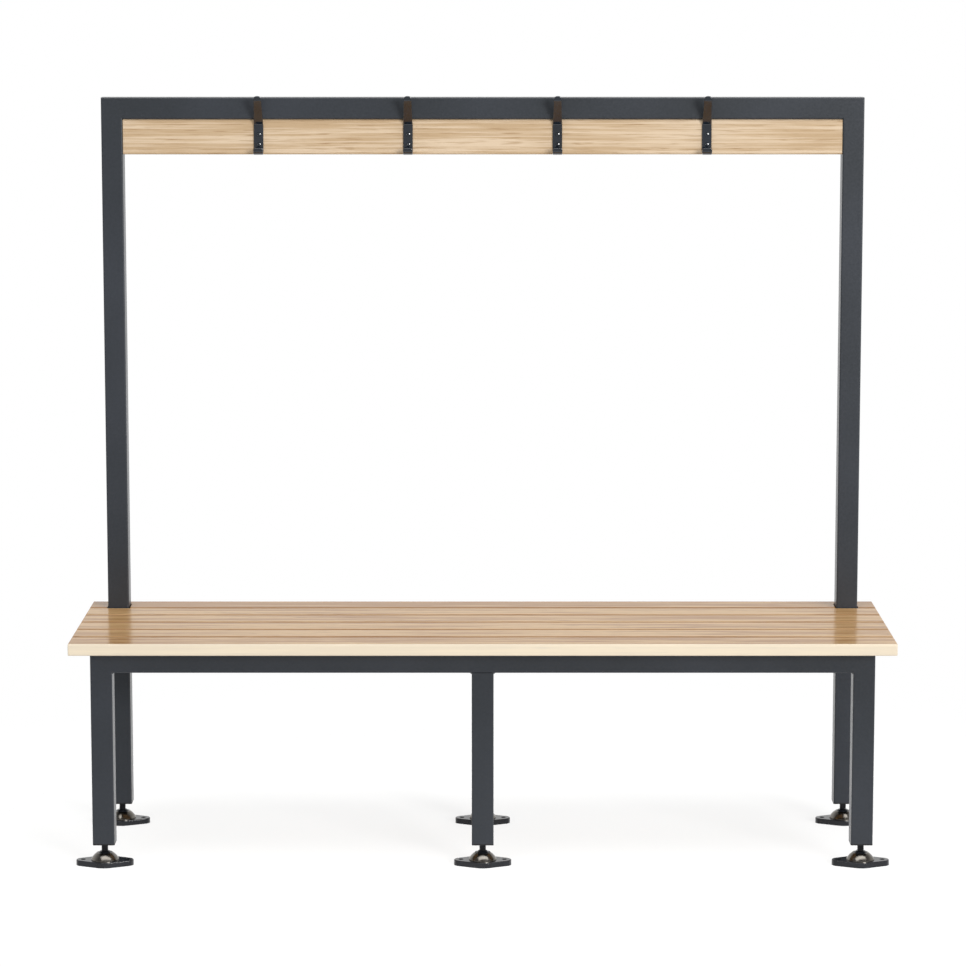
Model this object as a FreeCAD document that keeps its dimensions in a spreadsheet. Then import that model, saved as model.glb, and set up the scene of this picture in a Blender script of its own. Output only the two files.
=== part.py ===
import FreeCAD, Part
import math
import os
import re

import Sketcher
from FreeCAD import Placement, Rotation, Vector

# Coat rack bench: welded square-tube frame, slatted wood seat, hook board and six levelling feet.
# Millimetres, +Z up, front towards -Y, origin on the floor under the middle of the seat.

SLAT_COUNT = 6
HOOK_COUNT = 4
CLOSE = 0.01

# Driving sizes, in millimetres and degrees
SIZES = {
    # Seat
    "seat_length": 1500,
    "seat_height": 425,
    "slat_width": 66,
    "slat_thickness": 22,
    "slat_gap": 5,
    "slat_edge_radius": 3,
    "slat_end_radius": 1.5,
    # Frame
    "frame_height": 1395,
    "end_overhang": 35,
    "front_overhang": 42,
    "tube_size": 40,
    "tube_wall": 2,
    "tube_corner": 2.5,
    "cut_margin": 1,
    "post_clearance": 4,
    "notch_clearance": 2,
    "notch_corner": 3,
    "leg_lift": 41,
    # Hook board and its welded lugs
    "board_height": 66,
    "board_thickness": 22,
    "board_edge_radius": 3,
    "board_recess": 3,
    "board_fit": 0.5,
    "lug_length": 40,
    "lug_height": 44,
    "lug_thickness": 4,
    "lug_corner": 5,
    # Hooks
    "hook_pitch": 280,
    "strip_width": 18,
    "strip_thickness": 3,
    "lip_bend": 10,
    "lip_rise": 2,
    "lip_corner": 4,
    "plate_length": 41,
    "prong_bend": 10,
    "prong_angle": 45,
    "prong_length": 59,
    "tip_bend": 6,
    "tip_angle": 8,
    "tip_length": 6,
    "tip_width": 14.5,
    "tip_corner": 6,
    "hook_screw_low": 7,
    "hook_screw_rise": 19,
    # Screws
    "seat_screw_radius": 2.5,
    "seat_screw_head_radius": 4.5,
    "seat_screw_head": 3,
    "seat_screw_bite": 14,
    "rail_screw_inset": 75,
    "side_screw_inset": 12,
    "hook_screw_radius": 2,
    "hook_screw_head_radius": 4,
    "hook_screw_bite": 15,
    "lug_screw_radius": 2,
    "lug_screw_head_radius": 4,
    "lug_screw_head": 2.5,
    "lug_screw_bite": 15,
    "lug_screw_rise": 24,
    "pilot_clearance": 0.1,
    "screw_clearance": 0.3,
    "access_radius": 6,
    # Leg plugs and levelling stems
    "plug_flange": 2.5,
    "plug_depth": 25,
    "plug_clearance": 0.1,
    "plug_corner": 1,
    "stem_radius": 6,
    "stem_length": 75,
    "stem_chamfer": 1,
    "thread_clearance": 0.05,
    "flat_width": 10,
    "flat_start": 3,
    "flat_length": 8,
    "spigot_radius": 4.5,
    "spigot_length": 17,
    "spigot_clearance": 0.05,
    "spigot_end_gap": 0.3,
    # Swivel balls, domes and base plates
    "ball_radius": 17,
    "ball_height": 11.5,
    "ball_underside": 6,
    "ball_top": 26.5,
    "socket_clearance": 0.3,
    "socket_floor": 3.5,
    "dome_base_radius": 25.4,
    "dome_rim": 1.5,
    "dome_curve": 34,
    "dome_mouth_radius": 14.2,
    "dome_top": 23.5,
    "plate_thickness": 10,
    "plate_edge_radius": 1.5,
    "plate_middle_radius": 29,
    "plate_end_radius": 12.75,
    "bolt_spacing": 80,
    "bolt_hole_radius": 4.5,
}

# Places worked out from the driving sizes, as expressions
SEAT_DEPTH = f"({SLAT_COUNT} * slat_width + {SLAT_COUNT - 1} * slat_gap)"
FRONT_EDGE = f"(-{SEAT_DEPTH} / 2)"
SLAT_PITCH = "(slat_width + slat_gap)"
LAST_SLAT_FRONT = f"({FRONT_EDGE} + {SLAT_COUNT - 1} * {SLAT_PITCH})"
FRAME_HALF = "(seat_length / 2 - end_overhang)"
POST_X = f"({FRAME_HALF} - tube_size / 2)"
FRONT_LEG_Y = f"({FRONT_EDGE} + front_overhang + tube_size / 2)"
POST_FRONT = f"({LAST_SLAT_FRONT} - slat_gap + post_clearance)"
POST_Y = f"({POST_FRONT} + tube_size / 2)"
SLAT_UNDERSIDE = "(seat_height - slat_thickness)"
RAIL_Z = f"({SLAT_UNDERSIDE} - tube_size / 2)"
RAIL_UNDERSIDE = f"({SLAT_UNDERSIDE} - tube_size)"
LEG_END = "(leg_lift + plug_flange)"
SIDE_RAIL_START = f"({FRONT_LEG_Y} + tube_size / 2)"
SIDE_RAIL_LENGTH = f"({POST_FRONT} - {SIDE_RAIL_START})"
SCREW_HEAD_SEAT = f"({SLAT_UNDERSIDE} - tube_wall)"
FRONT_SCREW_Y = f"({FRONT_EDGE} + (front_overhang + slat_width) / 2)"
BOARD_TOP = "(frame_height - tube_size - board_fit)"
BOARD_Z = f"({BOARD_TOP} - board_height / 2)"
BOARD_FRONT = f"({POST_FRONT} + board_recess)"
BOARD_BACK = f"({BOARD_FRONT} + board_thickness)"
POST_INNER = f"({FRAME_HALF} - tube_size)"
HOOK_Y = f"({BOARD_FRONT} - strip_thickness / 2)"
HOOK_Z = f"({BOARD_TOP} - board_height + lip_bend + strip_thickness / 2)"
SOCKET_RADIUS = "(ball_radius + socket_clearance)"

doc = FreeCAD.newDocument("coat_rack_bench")
sheet = doc.addObject("Spreadsheet::Sheet", "Sizes")
for row, (alias, value) in enumerate(SIZES.items(), start=1):
    sheet.set(f"A{row}", alias)
    sheet.set(f"B{row}", str(value))
    sheet.setAlias(f"B{row}", alias)
doc.recompute()

PIECES = []


def sized(expression):
    """Return an expression with each size name pointed at its cell of the sheet."""
    return re.sub(r"[a-z_]+", lambda m: f"Sizes.{m[0]}" if m[0] in SIZES else m[0], expression)


def number(expression):
    """Return the present value of an expression."""
    return float(sheet.evalExpression(sized(expression)))


def tie(item, **links):
    """Bind properties of an object to expressions; a double underscore stands for a dot."""
    for name, expression in links.items():
        item.setExpression(name.replace("__", "."), sized(expression))


def new_body(label, x="0", y="0", z="0", axes=None):
    """Start a piece as a body placed at x, y, z, its own axes turned onto the given three."""
    body = doc.addObject("PartDesign::Body", label)
    body.Label = label
    if axes:
        body.Placement = Placement(Vector(), Rotation(*axes, "ZXY"))
    tie(body, Placement__Base__x=x, Placement__Base__y=y, Placement__Base__z=z)
    PIECES.append(body)
    return body


def new_sketch(body, role, name, lift="0"):
    """Add a sketch to a body on its origin plane of that role, lifted along the plane's normal."""
    sketch = body.newObject("Sketcher::SketchObject", f"{body.Name}_{name}")
    plane = next(item for item in body.Origin.OriginFeatures if item.Role == role)
    sketch.AttachmentSupport = [(plane, "")]
    sketch.MapMode = "FlatFace"
    tie(sketch, AttachmentOffset__Base__z=lift)
    return sketch


def hold(sketch, kind, references, expression):
    """Add a constraint to a sketch and bind its value to an expression."""
    index = sketch.addConstraint(Sketcher.Constraint(kind, *references, number(expression)))
    sketch.setExpression(f"Constraints[{index}]", sized(expression))


def arc_between(start, end, radius, left):
    """Return the shorter arc from start to end that turns left or right."""
    chord = end - start
    across = Vector(-chord.y, chord.x, 0).normalize()
    rise = math.sqrt(max(radius ** 2 - (chord.Length / 2) ** 2, 0))
    centre = (start + end) * 0.5 + across * (rise if left else -rise)
    first, last = (start, end) if left else (end, start)
    angles = [math.atan2(point.y - centre.y, point.x - centre.x) for point in (first, last)]
    return Part.ArcOfCircle(Part.Circle(centre, Vector(0, 0, 1), radius), *angles)


def outline(sketch, corners, arcs=None):
    """Draw a closed outline through corners given as x, y expressions.

    arcs maps the number of a side to its radius and the way it turns: L for left, R for right.
    """
    arcs = arcs or {}
    points = [Vector(number(x), number(y), 0) for x, y in corners]
    count = len(points)
    base = len(sketch.Geometry)
    ends = []
    for side in range(count):
        start, end = points[side], points[(side + 1) % count]
        if side in arcs:
            radius, turn = arcs[side]
            sketch.addGeometry(arc_between(start, end, number(radius), turn == "L"), False)
            hold(sketch, "Radius", (base + side,), radius)
            ends.append((1, 2) if turn == "L" else (2, 1))
        else:
            sketch.addGeometry(Part.LineSegment(start, end), False)
            ends.append((1, 2))
    for side, (x, y) in enumerate(corners):
        before = (side - 1) % count
        sketch.addConstraint(Sketcher.Constraint(
            "Coincident", base + before, ends[before][1], base + side, ends[side][0]))
        hold(sketch, "DistanceX", (-1, 1, base + side, ends[side][0]), x)
        hold(sketch, "DistanceY", (-1, 1, base + side, ends[side][0]), y)


def rectangle(sketch, left, bottom, right, top, radius=None):
    """Draw a rectangle between two corners, with rounded corners where a radius is given."""
    if radius is None:
        outline(sketch, [(left, bottom), (right, bottom), (right, top), (left, top)])
        return
    corners = [
        (f"{left} + {radius}", bottom), (f"{right} - {radius}", bottom),
        (right, f"{bottom} + {radius}"), (right, f"{top} - {radius}"),
        (f"{right} - {radius}", top), (f"{left} + {radius}", top),
        (left, f"{top} - {radius}"), (left, f"{bottom} + {radius}"),
    ]
    outline(sketch, corners, {side: (radius, "L") for side in (1, 3, 5, 7)})


def circles(sketch, centres, radius):
    """Draw equal circles round centres given as x, y expressions."""
    for x, y in centres:
        index = len(sketch.Geometry)
        centre = Vector(number(x), number(y), 0)
        sketch.addGeometry(Part.Circle(centre, Vector(0, 0, 1), number(radius)), False)
        hold(sketch, "Radius", (index,), radius)
        hold(sketch, "DistanceX", (-1, 1, index, 3), x)
        hold(sketch, "DistanceY", (-1, 1, index, 3), y)


def pad(body, sketch, length, symmetric=False):
    """Pad a sketch along its normal, or to both sides of it alike."""
    feature = body.newObject("PartDesign::Pad", f"{sketch.Name}_pad")
    feature.Profile = sketch
    feature.SideType = "Symmetric" if symmetric else "One side"
    tie(feature, Length=length)
    return feature


def pocket(body, sketch, length=None, along=True, symmetric=False):
    """Cut a sketch along its normal, against it, or to both sides; right through without a length."""
    doc.recompute()
    before = body.Shape.Volume
    feature = body.newObject("PartDesign::Pocket", f"{sketch.Name}_cut")
    feature.Profile = sketch
    feature.SideType = "Symmetric" if symmetric else "One side"
    feature.Reversed = along and not symmetric
    feature.Type = "Length" if length else "ThroughAll"
    if length:
        tie(feature, Length=length)
    doc.recompute()
    if not body.Shape.Volume < before:
        raise RuntimeError(f"{feature.Name} cuts nothing")
    return feature


def turned(body, sketch, kind):
    """Turn a sketch about its own vertical axis, to add material or to cut it away."""
    feature = body.newObject(f"PartDesign::{kind}", f"{sketch.Name}_turned")
    feature.Profile = sketch
    feature.ReferenceAxis = (sketch, ["V_Axis"])
    feature.Angle = 360
    return feature


def round_off(body, names, radius, label):
    """Fillet the named edges or faces of a body's last feature."""
    base = body.Tip
    feature = body.newObject("PartDesign::Fillet", f"{body.Name}_{label}")
    feature.Base = (base, names)
    tie(feature, Radius=radius)
    return feature


def faces_where(shape, wanted):
    """Return the names of the faces that pass a test."""
    return [f"Face{i}" for i, face in enumerate(shape.Faces, start=1) if wanted(face)]


def edges_where(shape, wanted):
    """Return the names of the edges that pass a test."""
    return [f"Edge{i}" for i, edge in enumerate(shape.Edges, start=1) if wanted(edge)]


# Steel tubes: each runs along its own Z, and a mitred end has its long side at its own -Y

UPRIGHT_LEFT = (Vector(0, -1, 0), Vector(1, 0, 0), Vector(0, 0, 1))
UPRIGHT_RIGHT = (Vector(0, 1, 0), Vector(-1, 0, 0), Vector(0, 0, 1))
ALONG_X = (Vector(0, -1, 0), Vector(0, 0, -1), Vector(1, 0, 0))
ALONG_Y = (Vector(1, 0, 0), Vector(0, 0, -1), Vector(0, 1, 0))


def tube(label, place, axes, length, mitre_start=False, mitre_end=False, screws=()):
    """Make a square tube, with mitred ends and seat-screw holes at own x, z expressions."""
    body = new_body(label, *place, axes)
    section = new_sketch(body, "XY_Plane", "section")
    half = "tube_size / 2"
    bore = f"({half} - tube_wall)"
    rectangle(section, f"-{half}", f"-{half}", half, half, "tube_corner")
    rectangle(section, f"-{bore}", f"-{bore}", bore, bore, "(tube_corner - tube_wall)")
    pad(body, section, length)
    near, far = f"-{half} - cut_margin", f"{half} + cut_margin"
    reach = "(tube_size + cut_margin)"
    if mitre_start:
        cut = new_sketch(body, "YZ_Plane", "start_mitre")
        outline(cut, [(near, "-cut_margin"), (far, "-cut_margin"), (far, reach)])
        pocket(body, cut, symmetric=True)
    if mitre_end:
        cut = new_sketch(body, "YZ_Plane", "end_mitre")
        over = f"{length} + cut_margin"
        outline(cut, [(near, over), (far, f"{length} - {reach}"), (far, over)])
        pocket(body, cut, symmetric=True)
    if screws:
        holes = new_sketch(body, "XZ_Plane", "screw_holes")
        circles(holes, screws, "seat_screw_radius + screw_clearance")
        pocket(body, holes)
        access = new_sketch(body, "XZ_Plane", "access_holes")
        circles(access, screws, "access_radius")
        pocket(body, access, along=False)


def slat_centre(index):
    """Return the middle of a slat from front to back."""
    return f"({FRONT_EDGE} + {index} * {SLAT_PITCH} + slat_width / 2)"


def side_screw_y(index):
    """Return where a slat's screws stand: at its middle, but clear of the side rails' ends."""
    first, last = f"{SIDE_RAIL_START} + side_screw_inset", f"{POST_FRONT} - side_screw_inset"
    return f"min(max({slat_centre(index)}; {first}); {last})"


RAIL_SCREWS_X = [f"{step} / 3 * ({POST_INNER} - rail_screw_inset)" for step in (-3, -1, 1, 3)]
SIDE_SLATS = range(1, SLAT_COUNT - 1)
SIDE_SCREWS = [("0", f"{side_screw_y(index)} - {SIDE_RAIL_START}") for index in SIDE_SLATS]
FRONT_SCREWS = [(f"{FRONT_LEG_Y} - {FRONT_SCREW_Y}", f"{x} + {FRAME_HALF}") for x in RAIL_SCREWS_X]
REAR_SCREWS = [("0", f"{x} + {POST_INNER}") for x in RAIL_SCREWS_X]

POST_LENGTH = f"(frame_height - {LEG_END})"
FRONT_LEG_LENGTH = f"({SLAT_UNDERSIDE} - {LEG_END})"
CENTRE_LEG_LENGTH = f"({RAIL_UNDERSIDE} - {LEG_END})"
FRAME_WIDTH = f"(2 * {FRAME_HALF})"

tube("left_post", (f"-{POST_X}", POST_Y, LEG_END), UPRIGHT_LEFT, POST_LENGTH, mitre_end=True)
tube("right_post", (POST_X, POST_Y, LEG_END), UPRIGHT_RIGHT, POST_LENGTH, mitre_end=True)
tube("top_rail", (f"-{FRAME_HALF}", POST_Y, "frame_height - tube_size / 2"), ALONG_X, FRAME_WIDTH,
     mitre_start=True, mitre_end=True)
tube("front_left_leg", (f"-{POST_X}", FRONT_LEG_Y, LEG_END), UPRIGHT_LEFT, FRONT_LEG_LENGTH,
     mitre_end=True)
tube("front_right_leg", (POST_X, FRONT_LEG_Y, LEG_END), UPRIGHT_RIGHT, FRONT_LEG_LENGTH,
     mitre_end=True)
tube("front_centre_leg", ("0", FRONT_LEG_Y, LEG_END), UPRIGHT_LEFT, CENTRE_LEG_LENGTH)
tube("rear_centre_leg", ("0", POST_Y, LEG_END), UPRIGHT_LEFT, CENTRE_LEG_LENGTH)
tube("front_seat_rail", (f"-{FRAME_HALF}", FRONT_LEG_Y, RAIL_Z), ALONG_X, FRAME_WIDTH,
     mitre_start=True, mitre_end=True, screws=FRONT_SCREWS)
tube("rear_seat_rail", (f"-{POST_INNER}", POST_Y, RAIL_Z), ALONG_X, f"(2 * {POST_INNER})",
     screws=REAR_SCREWS)
for name, x in (("left_side_rail", f"-{POST_X}"), ("right_side_rail", POST_X), ("centre_cross_rail", "0")):
    tube(name, (x, SIDE_RAIL_START, RAIL_Z), ALONG_Y, SIDE_RAIL_LENGTH, screws=SIDE_SCREWS)


# Seat slats: rounded boards with pilot holes from below, the last one notched round the posts

def seat_slat(index, screws):
    """Make one slat, counted from the front, with pilot holes at x and own y expressions."""
    body = new_body(f"seat_slat_{index + 1}", y=slat_centre(index), z=SLAT_UNDERSIDE)
    section = new_sketch(body, "YZ_Plane", "section")
    rectangle(section, "-slat_width / 2", "0", "slat_width / 2", "slat_thickness", "slat_edge_radius")
    pad(body, section, "seat_length", symmetric=True)
    doc.recompute()
    tip = number("seat_length / 2")
    ends = faces_where(body.Shape, lambda face: abs(abs(face.CenterOfMass.x) - tip) < CLOSE)
    round_off(body, ends, "slat_end_radius", "ends")
    pilots = new_sketch(body, "XY_Plane", "pilot_holes")
    circles(pilots, screws, "seat_screw_radius + pilot_clearance")
    pocket(body, pilots, "seat_screw_bite + pilot_clearance")
    return body


SIDE_RAILS_X = (f"-{POST_X}", "0", POST_X)
seat_slat(0, [(x, f"{FRONT_SCREW_Y} - {slat_centre(0)}") for x in RAIL_SCREWS_X])
for slat in SIDE_SLATS:
    seat_slat(slat, [(x, f"{side_screw_y(slat)} - {slat_centre(slat)}") for x in SIDE_RAILS_X])
LAST_SLAT_Y = slat_centre(SLAT_COUNT - 1)
rear_slat = seat_slat(SLAT_COUNT - 1, [(x, f"{POST_Y} - {LAST_SLAT_Y}") for x in RAIL_SCREWS_X])

notches = new_sketch(rear_slat, "XY_Plane", "post_notches")
notch_back = f"{POST_FRONT} + tube_size + notch_clearance - {LAST_SLAT_Y}"
notch_front = "-slat_width / 2 - cut_margin"
for side in ("-", ""):
    notch_left = f"({side}{POST_X} - tube_size / 2 - notch_clearance)"
    notch_right = f"({side}{POST_X} + tube_size / 2 + notch_clearance)"
    outline(notches, [
        (notch_left, notch_front), (notch_right, notch_front),
        (notch_right, f"{notch_back} - notch_corner"), (f"{notch_right} - notch_corner", notch_back),
        (f"{notch_left} + notch_corner", notch_back), (notch_left, f"{notch_back} - notch_corner"),
    ], {2: ("notch_corner", "L"), 4: ("notch_corner", "L")})
pocket(rear_slat, notches, "slat_thickness")


# Hook board between the posts, with pilot holes for the hooks in front and the lugs behind

HOOK_X = [f"{2 * hook - HOOK_COUNT + 1} * hook_pitch / 2" for hook in range(HOOK_COUNT)]
HOOK_SCREWS_Z = [f"{HOOK_Z} + hook_screw_low", f"{HOOK_Z} + hook_screw_low + hook_screw_rise"]
LUG_X = f"({POST_INNER} - lug_length / 2)"
LUG_SCREWS_Z = [f"{BOARD_Z} - lug_screw_rise / 2", f"{BOARD_Z} + lug_screw_rise / 2"]

board = new_body("hook_rail", y=BOARD_FRONT, z=BOARD_Z)
board_section = new_sketch(board, "YZ_Plane", "section")
rectangle(board_section, "0", "-board_height / 2", "board_thickness", "board_height / 2",
          "board_edge_radius")
pad(board, board_section, f"2 * ({POST_INNER} - board_fit)", symmetric=True)
hook_pilots = new_sketch(board, "XZ_Plane", "hook_pilots")
circles(hook_pilots, [(x, f"{z} - {BOARD_Z}") for x in HOOK_X for z in HOOK_SCREWS_Z],
        "hook_screw_radius + pilot_clearance")
pocket(board, hook_pilots, "hook_screw_bite + pilot_clearance", along=False)
lug_pilots = new_sketch(board, "XZ_Plane", "lug_pilots", lift="-board_thickness")
circles(lug_pilots, [(f"{side}{LUG_X}", f"{z} - {BOARD_Z}") for side in ("-", "") for z in LUG_SCREWS_Z],
        "lug_screw_radius + pilot_clearance")
pocket(board, lug_pilots, "lug_screw_bite + pilot_clearance")


def board_lug(label, side):
    """Make a tab that is welded to a post and carries one end of the board; side is -1 or 1."""
    body = new_body(label, x=f"{side} * {POST_INNER}", y=BOARD_BACK, z=BOARD_Z)
    face = new_sketch(body, "XZ_Plane", "face", lift="-lug_thickness")
    low, high, corner = "-lug_height / 2", "lug_height / 2", "lug_corner"
    tip, shoulder = f"{-side} * lug_length", f"{-side} * (lug_length - {corner})"
    turn = "R" if side > 0 else "L"
    outline(face, [("0", low), (shoulder, low), (tip, f"{low} + {corner}"), (tip, f"{high} - {corner}"),
                   (shoulder, high), ("0", high)], {1: (corner, turn), 3: (corner, turn)})
    pad(body, face, "lug_thickness")
    holes = new_sketch(body, "XZ_Plane", "screw_holes", lift="-lug_thickness")
    circles(holes, [(f"{-side} * lug_length / 2", f"{z} - {BOARD_Z}") for z in LUG_SCREWS_Z],
            "lug_screw_radius + screw_clearance")
    pocket(body, holes)


board_lug("left_hook_rail_lug", -1)
board_lug("right_hook_rail_lug", 1)


# Coat hooks: flat strip bent into a small lower hook, a screw plate and a slanted prong with a turned-up tip

def hook_line():
    """Return the strip's middle line from lip to tip: point, forward normal, then side radius and turn."""
    lean = "prong_angle * 1 deg"
    end = "tip_angle * 1 deg"
    bend_y, bend_z = f"(prong_bend * (cos({lean}) - 1))", f"(plate_length + prong_bend * sin({lean}))"
    prong_y, prong_z = f"({bend_y} - prong_length * sin({lean}))", f"({bend_z} + prong_length * cos({lean}))"
    curl_y = f"({prong_y} + tip_bend * (cos({lean}) - cos({end})))"
    curl_z = f"({prong_z} + tip_bend * (sin({lean}) - sin({end})))"
    tip_y, tip_z = f"({curl_y} - tip_length * sin({end}))", f"({curl_z} + tip_length * cos({end}))"
    leaning, ending = (f"-cos({lean})", f"-sin({lean})"), (f"-cos({end})", f"-sin({end})")
    return [
        ("-2 * lip_bend", "lip_rise", ("1", "0"), None),
        ("-2 * lip_bend", "0", ("1", "0"), ("lip_bend", "L")),
        ("-lip_bend", "-lip_bend", ("0", "1"), ("lip_bend", "L")),
        ("0", "0", ("-1", "0"), None),
        ("0", "plate_length", ("-1", "0"), ("prong_bend", "L")),
        (bend_y, bend_z, leaning, None),
        (prong_y, prong_z, leaning, ("tip_bend", "R")),
        (curl_y, curl_z, ending, None),
        (tip_y, tip_z, ending, None),
    ]


def coat_hook(label, x):
    """Make one double hook with two countersunk screw holes."""
    body = new_body(label, x=x, y=HOOK_Y, z=HOOK_Z)
    side_view = new_sketch(body, "YZ_Plane", "side_view")
    line = hook_line()
    half = "strip_thickness / 2"
    front = [(f"{y} + {half} * ({n[0]})", f"{z} + {half} * ({n[1]})") for y, z, n, bend in line]
    back = [(f"{y} - {half} * ({n[0]})", f"{z} - {half} * ({n[1]})") for y, z, n, bend in reversed(line)]
    arcs = {}
    last = 2 * len(line) - 2
    for step, (y, z, normal, bend) in enumerate(line):
        if bend:
            radius, turn = bend
            inner, outer = f"({radius} - {half})", f"({radius} + {half})"
            arcs[step] = (inner, "L") if turn == "L" else (outer, "R")
            arcs[last - step] = (outer, "R") if turn == "L" else (inner, "L")
    outline(side_view, front + back, arcs)
    pad(body, side_view, "strip_width", symmetric=True)
    taper = new_sketch(body, "XZ_Plane", "taper")
    over = f"{line[-1][1]} + strip_thickness"
    for side in ("-", ""):
        edge, clear = f"{side}strip_width / 2", f"{side}strip_width"
        outline(taper, [(edge, "plate_length"), (clear, "plate_length"), (clear, over),
                        (f"{side}tip_width / 2", over)])
    pocket(body, taper, symmetric=True)
    lean = math.radians(number("tip_angle"))
    thick = number("strip_thickness")
    middle = number(f"{HOOK_Z} + plate_length / 2")

    def end_edges(across, upper):
        """Return the straight edges across the strip's thickness at its upper or lower end."""
        def wanted(edge):
            run = edge.lastVertex().Point - edge.firstVertex().Point
            at_end = (edge.CenterOfMass.z > middle) == upper
            return at_end and abs(run.Length - thick) < CLOSE and abs(abs(run.dot(across)) - thick) < CLOSE
        return edges_where(body.Shape, wanted)

    round_off(body, end_edges(Vector(0, math.cos(lean), math.sin(lean)), True), "tip_corner", "tip")
    doc.recompute()
    round_off(body, end_edges(Vector(0, 1, 0), False), "lip_corner", "lip")
    holes = new_sketch(body, "XZ_Plane", "screw_holes", lift=half)
    places = [("0", "hook_screw_low"), ("0", "hook_screw_low + hook_screw_rise")]
    circles(holes, places, "hook_screw_radius + screw_clearance")
    pocket(body, holes, "strip_thickness", along=False)
    for hole, (across, up) in enumerate(places, start=1):
        sink = new_sketch(body, "XY_Plane", f"countersink_{hole}", lift=up)
        wide, narrow = "hook_screw_head_radius + screw_clearance", "hook_screw_radius + screw_clearance"
        floor = f"-{half} + hook_screw_head_radius - hook_screw_radius"
        outline(sink, [("0", f"-{half}"), (wide, f"-{half}"), (narrow, floor), ("0", floor)])
        turned(body, sink, "Groove")


for hook, hook_x in enumerate(HOOK_X, start=1):
    coat_hook(f"coat_hook_{hook}", hook_x)


# Screws: turned shapes, head down, repeated as groups of separate solids

def screw_group(label, profile, places, axis):
    """Make equal screws from a half profile of radius, height expressions at places along an axis."""
    points = [Vector(number(r), 0, number(h)) for r, h in profile]
    face = Part.Face(Part.makePolygon(points + points[:1]))
    screw = face.revolve(Vector(), Vector(0, 0, 1), 360)
    turn = Rotation(Vector(0, 0, 1), axis)
    copies = []
    for x, y, z in places:
        copy = screw.copy()
        copy.Placement = Placement(Vector(number(x), number(y), number(z)), turn)
        copies.append(copy)
    group = doc.addObject("Part::Feature", label)
    group.Label = label
    group.Shape = Part.makeCompound(copies)
    PIECES.append(group)


seat_places = [(x, side_screw_y(index), SCREW_HEAD_SEAT) for x in SIDE_RAILS_X for index in SIDE_SLATS]
seat_places += [(x, FRONT_SCREW_Y, SCREW_HEAD_SEAT) for x in RAIL_SCREWS_X]
seat_places += [(x, POST_Y, SCREW_HEAD_SEAT) for x in RAIL_SCREWS_X]
screw_group("seat_screws", [
    ("0", "-seat_screw_head"), ("seat_screw_head_radius", "-seat_screw_head"),
    ("seat_screw_head_radius", "0"), ("seat_screw_radius", "0"),
    ("seat_screw_radius", "tube_wall + seat_screw_bite"), ("0", "tube_wall + seat_screw_bite"),
], seat_places, Vector(0, 0, 1))

sink_depth = "(hook_screw_head_radius - hook_screw_radius)"
screw_group("hook_screws", [
    ("0", "0"), ("hook_screw_head_radius", "0"), ("hook_screw_radius", sink_depth),
    ("hook_screw_radius", "strip_thickness + hook_screw_bite"), ("0", "strip_thickness + hook_screw_bite"),
], [(x, f"{BOARD_FRONT} - strip_thickness", z) for x in HOOK_X for z in HOOK_SCREWS_Z], Vector(0, 1, 0))

screw_group("lug_screws", [
    ("0", "-lug_screw_head"), ("lug_screw_head_radius", "-lug_screw_head"), ("lug_screw_head_radius", "0"),
    ("lug_screw_radius", "0"), ("lug_screw_radius", "lug_thickness + lug_screw_bite"),
    ("0", "lug_thickness + lug_screw_bite"),
], [(f"{side}{LUG_X}", f"{BOARD_BACK} + lug_thickness", z) for side in ("-", "") for z in LUG_SCREWS_Z],
    Vector(0, -1, 0))


# Levelling feet: plug in the leg, screwed stem, swivel ball, dome over the ball and bolt-down base plate

def sphere_reach(radius, height):
    """Return how wide a sphere round the ball's centre is at a height above the floor."""
    return f"sqrt({radius} ^ 2 - ({height} - ball_height) ^ 2)"


def leg_plug(label, x, y):
    """Make the threaded plug, flange under the tube's end and square shank inside it."""
    body = new_body(label, x, y, "leg_lift")
    half = "tube_size / 2"
    flange = new_sketch(body, "XY_Plane", "flange")
    rectangle(flange, f"-{half}", f"-{half}", half, half, "tube_corner")
    pad(body, flange, "plug_flange")
    shank = new_sketch(body, "XY_Plane", "shank", lift="plug_flange")
    side = f"({half} - tube_wall - plug_clearance)"
    rectangle(shank, f"-{side}", f"-{side}", side, side, "plug_corner")
    pad(body, shank, "plug_depth")
    bore = new_sketch(body, "XY_Plane", "bore")
    circles(bore, [("0", "0")], "stem_radius + thread_clearance")
    pocket(body, bore)


def foot_stem(label, x, y):
    """Make the levelling screw: spigot in the ball, spanner flats and long threaded shank."""
    body = new_body(label, x, y)
    half_view = new_sketch(body, "XZ_Plane", "half_view")
    top = "ball_top + stem_length"
    outline(half_view, [
        ("0", "ball_top - spigot_length"), ("spigot_radius", "ball_top - spigot_length"),
        ("spigot_radius", "ball_top"), ("stem_radius", "ball_top"),
        ("stem_radius", f"{top} - stem_chamfer"), ("stem_radius - stem_chamfer", top), ("0", top),
    ])
    turned(body, half_view, "Revolution")
    flats = new_sketch(body, "XY_Plane", "spanner_flats", lift="ball_top + flat_start")
    for side in ("-", ""):
        near, far = f"{side}flat_width / 2", f"{side}2 * stem_radius"
        outline(flats, [("-2 * stem_radius", near), ("2 * stem_radius", near),
                        ("2 * stem_radius", far), ("-2 * stem_radius", far)])
    pocket(body, flats, "flat_length")


def foot_ball(label, x, y):
    """Make the swivel ball, flat above and below, bored for the stem's spigot."""
    body = new_body(label, x, y)
    half_view = new_sketch(body, "XZ_Plane", "half_view")
    bore = "spigot_radius + spigot_clearance"
    bore_floor = "ball_top - spigot_length - spigot_end_gap"
    outline(half_view, [
        ("0", "ball_underside"), (sphere_reach("ball_radius", "ball_underside"), "ball_underside"),
        (sphere_reach("ball_radius", "ball_top"), "ball_top"), (bore, "ball_top"),
        (bore, bore_floor), ("0", bore_floor),
    ], {1: ("ball_radius", "L")})
    turned(body, half_view, "Revolution")


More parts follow.
